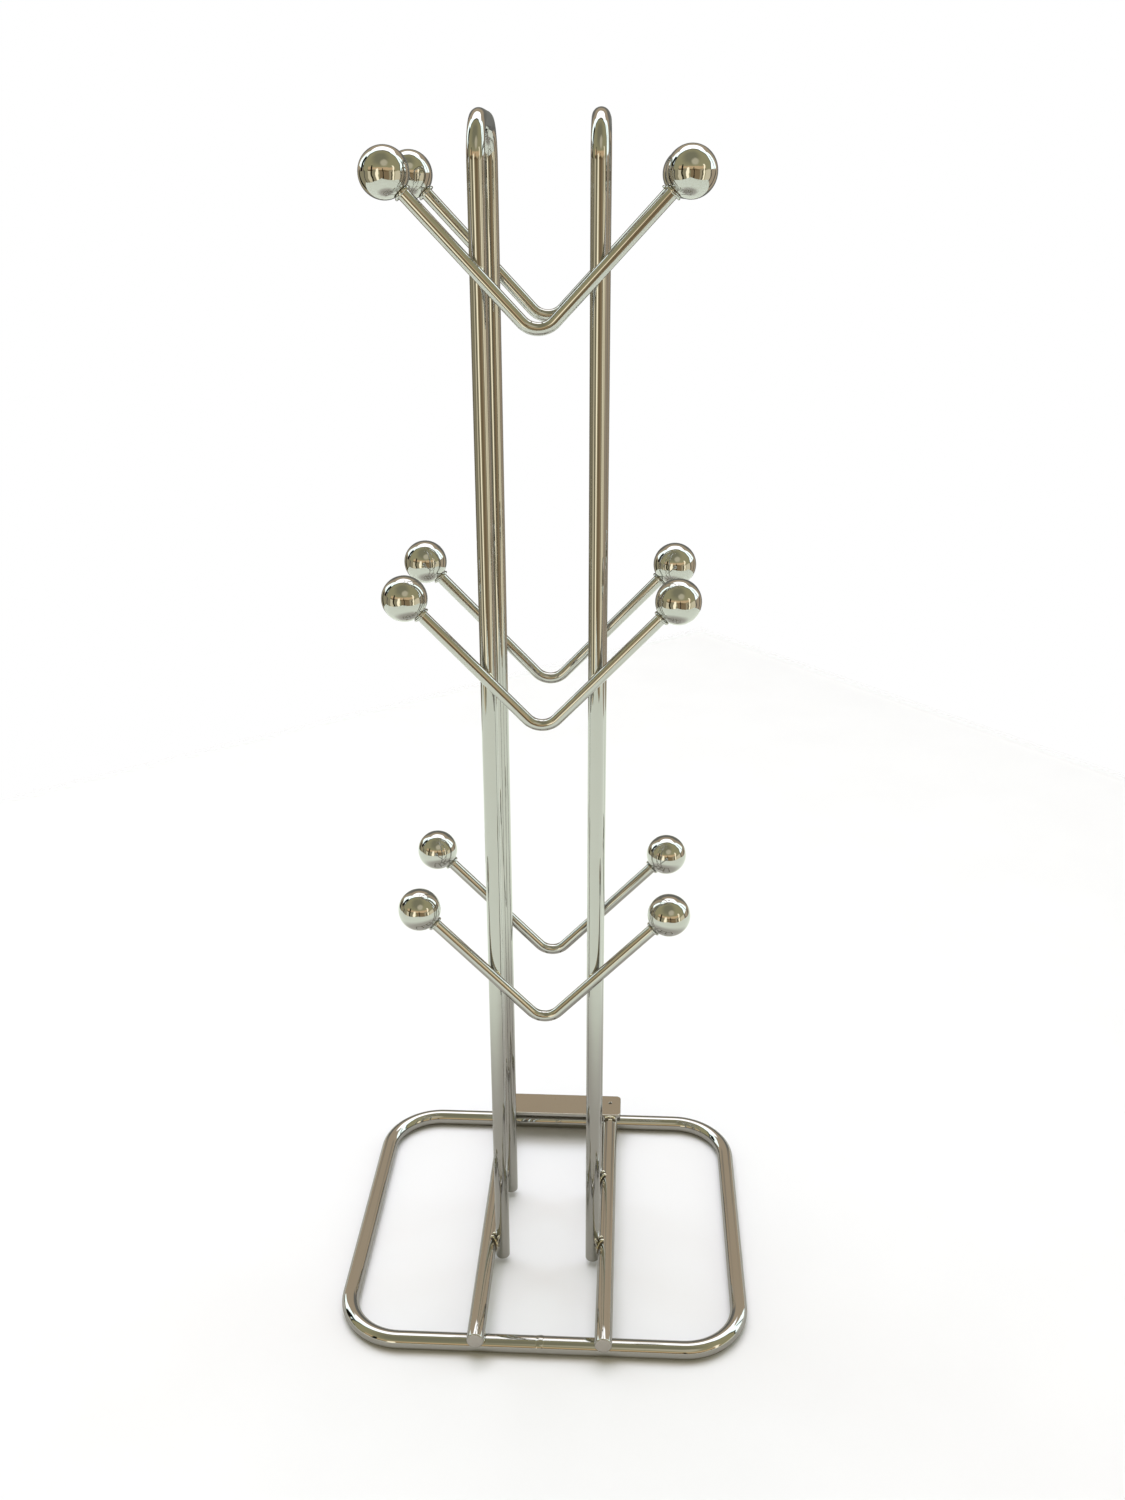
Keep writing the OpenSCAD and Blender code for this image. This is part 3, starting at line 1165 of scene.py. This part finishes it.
@dataclass(frozen=True)
class Card(Panel):
    """A panel between two azimuths and two elevations."""

    azimuth: tuple[float, float]
    elevation: tuple[float, float]
    softness: float = 1.2

    def mask(self, sheet: NodeSheet, azimuth: bpy.types.NodeSocket,
             elevation: bpy.types.NodeSocket) -> bpy.types.NodeSocket:
        """Returns where the card shows."""
        soft = self.softness
        mask = None
        for value, (low, high) in ((azimuth, self.azimuth), (elevation, self.elevation)):
            for edge, start, end in ((low, 0, 1), (high, 1, 0)):
                if abs(edge) >= HALF_TURN:
                    continue
                step = sheet.ramp(value, edge - soft, edge + soft, start, end)
                mask = step if mask is None else sheet.math("MULTIPLY", mask, step)
        return mask


@dataclass(frozen=True)
class Dome(Panel):
    """A round panel, by its middle's azimuth and elevation and its angular radius."""

    azimuth: float
    elevation: float
    radius: float
    softness: float = 1.5

    def mask(self, sheet: NodeSheet, azimuth: bpy.types.NodeSocket,
             elevation: bpy.types.NodeSocket) -> bpy.types.NodeSocket:
        """Returns where the dome shows."""
        turned = sheet.math("MULTIPLY", sheet.math("SUBTRACT", azimuth, self.azimuth), DEGREE)
        across = sheet.math("COSINE", turned)
        height = sheet.math("MULTIPLY", elevation, DEGREE)
        level = sheet.math("MULTIPLY", sheet.math("MULTIPLY", sheet.math("COSINE", height), across),
                           math.cos(self.elevation * DEGREE))
        rise = sheet.math("MULTIPLY", sheet.math("SINE", height), math.sin(self.elevation * DEGREE))
        away = sheet.math("DIVIDE", sheet.math("ARCCOSINE", sheet.math("ADD", level, rise)), DEGREE)
        return sheet.ramp(away, self.radius - self.softness, self.radius + self.softness, 1, 0)


@dataclass(frozen=True)
class Softbox:
    """A square lamp that hangs over the tree."""

    name: str = "overhead_softbox"
    place: tuple[float, float, float] = (-0.3, 0.3, 2.6)
    aim: tuple[float, float, float] = (0, 0, 0.2)
    side: float = 2.0
    watts: float = 45.0
    colour: Colour = (1.0, 0.99, 0.98)

    def build(self) -> None:
        """Hangs the lamp, out of the camera's and the plating's sight."""
        data = bpy.data.lights.new(self.name, "AREA")
        data.shape = "SQUARE"
        data.size = self.side
        data.energy = self.watts
        data.color = self.colour
        lamp = add_object(self.name, data)
        lamp.location = self.place
        lamp.rotation_euler = (Vector(self.aim) - Vector(self.place)).to_track_quat("-Z", "Y").to_euler()
        lamp.visible_camera = False
        lamp.visible_glossy = False


@dataclass(frozen=True)
class View:
    """The camera's stand, with its turns in degrees, in front of the tree and near the height of its tip."""

    place: tuple[float, float, float] = (29.0 * MM, -444.8 * MM, 398.3 * MM)
    yaw: float = -3.01
    pitch: float = 22.39
    roll: float = -0.18
    lens_mm: float = 32.49
    sensor_mm: float = 36

    def build(self) -> None:
        """Sets up the camera and makes it the scene's."""
        yaw, pitch, roll = (math.radians(angle) for angle in (self.yaw, self.pitch, self.roll))
        ahead = Vector((math.sin(yaw) * math.cos(pitch), math.cos(yaw) * math.cos(pitch), -math.sin(pitch)))
        level = Vector((math.cos(yaw), -math.sin(yaw), 0))
        above = level.cross(ahead)
        right = level * math.cos(roll) + above * math.sin(roll)
        up = above * math.cos(roll) - level * math.sin(roll)
        data = bpy.data.cameras.new("camera")
        data.sensor_width = self.sensor_mm
        data.lens = self.lens_mm
        camera = add_object("camera", data)
        turn = Matrix((right, up, -ahead)).transposed().to_4x4()
        camera.matrix_world = Matrix.Translation(self.place) @ turn
        bpy.context.scene.camera = camera


@dataclass
class Studio:
    """The surroundings: soft panels for the plating to reflect, a pale backdrop, a tabletop and a camera."""

    panels: Sequence[Panel]
    backdrop: Colour = (1.0, 1.0, 1.0)
    rear_wall: Colour = (0.56, 0.46, 0.33)
    unevenness: float = 0.22
    stir_scale: float = 2.6
    table_radius: float = 1.6
    softbox: Softbox = Softbox()
    view: View = View()

    def build(self, paint: PaintShop) -> None:
        """Makes the world, the lamp, the tabletop and the camera.

        Args:
            paint: The shop that makes the tabletop's material.
        """
        self._world()
        self.softbox.build()
        self._tabletop(paint)
        self.view.build()
        bpy.context.scene.view_settings.view_transform = "Standard"

    def _world(self) -> None:
        """Paints the room, panel over panel, and a plain backdrop for the camera's own view."""
        world = bpy.data.worlds.new("studio")
        bpy.context.scene.world = world
        world.use_nodes = True
        sheet = NodeSheet(world.node_tree)
        direction = sheet.add("TexCoord").outputs["Generated"]
        stir = sheet.add("TexNoise", {"Vector": direction, "Scale": self.stir_scale, "Detail": 3.0})
        centred = sheet.add("VectorMath", {0: stir.outputs["Color"], 1: (0.5, 0.5, 0.5)},
                            operation="SUBTRACT").outputs[0]
        swirl = sheet.add("VectorMath", {0: centred, "Scale": self.unevenness}, operation="SCALE").outputs[0]
        stirred = sheet.add("VectorMath", {0: direction, 1: swirl}, operation="ADD").outputs[0]
        level = sheet.add("VectorMath", {0: stirred}, operation="NORMALIZE").outputs[0]
        split = sheet.add("SeparateXYZ", {0: level}).outputs
        turned = sheet.math("ARCTAN2", split[0], sheet.math("MULTIPLY", split[1], -1))
        azimuth = sheet.math("DIVIDE", turned, DEGREE)
        elevation = sheet.math("DIVIDE", sheet.math("ARCSINE", split[2]), DEGREE)
        colour: object = self.rear_wall
        for panel in self.panels:
            colour = sheet.mix(panel.mask(sheet, azimuth, elevation), colour, panel.colour)
            colour.node.label = panel.name
        seen = sheet.add("LightPath").outputs["Is Camera Ray"]
        shown = sheet.mix(seen, colour, self.backdrop)
        light = sheet.add("Background", {"Color": shown, "Strength": 1.0})
        out = sheet.add("OutputWorld")
        sheet.tree.links.new(light.outputs[0], out.inputs[0])

    def _tabletop(self, paint: PaintShop) -> None:
        """Lays the pale tabletop under the tree."""
        work = bmesh.new()
        bmesh.ops.create_circle(work, cap_ends=True, segments=96, radius=self.table_radius)
        mesh = bpy.data.meshes.new("tabletop")
        work.to_mesh(mesh)
        work.free()
        mesh.materials.append(paint.get(FloorFinish()))
        top = add_object("tabletop", mesh)


WHITE = (2.3, 2.3, 2.3)
COOL_WHITE = (1.9, 2.2, 2.15)
CREAM = (1.8, 1.64, 1.21)
PALE = (0.95, 0.86, 0.61)
PALE_STONE = (0.71, 0.66, 0.48)
STONE = (0.41, 0.37, 0.24)
OLIVE = (0.46, 0.43, 0.25)
DEEP_OLIVE = (0.30, 0.29, 0.19)
GOLD = (0.85, 0.62, 0.36)
TAN = (0.57, 0.49, 0.32)
BROWN = (0.34, 0.25, 0.14)
DARK_BROWN = (0.20, 0.12, 0.05)
SHADE = (0.20, 0.20, 0.18)
CHARCOAL = (0.10, 0.10, 0.09)
BLACK = (0.012, 0.01, 0.008)

ALL_ROUND = (-HALF_TURN, HALF_TURN)
ROOM_PANELS = (
    Card("far doorway left", SHADE, (-180, -146), (-180, 28), 6),
    Card("far doorway right", SHADE, (146, 180), (-180, 28), 6),
    Card("ceiling light", WHITE, ALL_ROUND, (48, 180), 1.5),
    Card("left window", COOL_WHITE, (-128, -68), (12, 180)),
    Card("right window", COOL_WHITE, (62, 128), (6, 180)),
    Card("left curtain", BLACK, (-112, -98), (2, 40)),
    Card("left shelf", CHARCOAL, (-98, -80), (12, 20)),
    Card("right bar", CHARCOAL, (112, 115), (6, 40)),
    Dome("shaded ceiling rim", BLACK, 0, 11, 91),
    Dome("shaded ceiling", OLIVE, 0, 11, 88),
    Dome("far ceiling", DEEP_OLIVE, -10, 60, 30, 14),
    Dome("ceiling glow", PALE_STONE, 14, 40, 13, 6),
    Card("warm wall", GOLD, (-62, 62), (9, 20), 2),
    Card("picture rail", DARK_BROWN, (-64, 64), (4, 8)),
    Card("left wall", STONE, (-140, -64), (-180, 3)),
    Card("left edge", BLACK, (-128, -118), (-180, 6)),
    Card("left frame", CHARCOAL, (-88, -83), (-180, 5)),
    Card("left door", PALE, (-64, -50), (-180, 4)),
    Card("left post", BLACK, (-48, -41), (-180, 26)),
    Card("hallway", STONE, (-39, -25), (-180, 12)),
    Card("doorway light", CREAM, (-25, -14), (-180, 14)),
    Card("cupboard", BROWN, (-8, 36), (-180, 6), 2.5),
    Card("cupboard gap", BLACK, (6, 10), (-180, 16)),
    Card("cupboard side", TAN, (36, 50), (-180, 8), 2.5),
    Card("lamp", CREAM, (52, 58), (-180, 26)),
    Card("right post", BLACK, (44, 48), (-180, 4)),
    Card("right wall", PALE, (62, 90), (-180, 5), 2),
    Card("right frame", CHARCOAL, (92, 97), (-180, 4)),
    Card("right edge", CHARCOAL, (122, 130), (-180, 4)),
    Card("near rug", BROWN, ALL_ROUND, (-180, -34), 4),
)


def main() -> None:
    """Builds the tree and its studio, and reports each piece."""
    logging.basicConfig(level=logging.INFO, format="%(name)s %(message)s")
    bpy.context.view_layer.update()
    paint = PaintShop()
    maker = PieceMaker(paint)

    ring = BaseRing.from_frame()
    ring.build(maker)
    bars = Crossbars.from_frame(ring)
    bars.build(maker)
    RearPlate().build(maker, bars, ring.half_depth)

    uprights = [Upright.from_frame(side) for side in Side]
    for upright in uprights:
        upright.build(maker)
    UprightWelds(uprights[1], bars).build(maker)
    for tier in Tier:
        ArmTier(tier, uprights[1]).build(maker)

    Studio(ROOM_PANELS).build(paint)
    LOG.info("%d pieces made", maker.count)


if __name__ == "__main__":
    main()
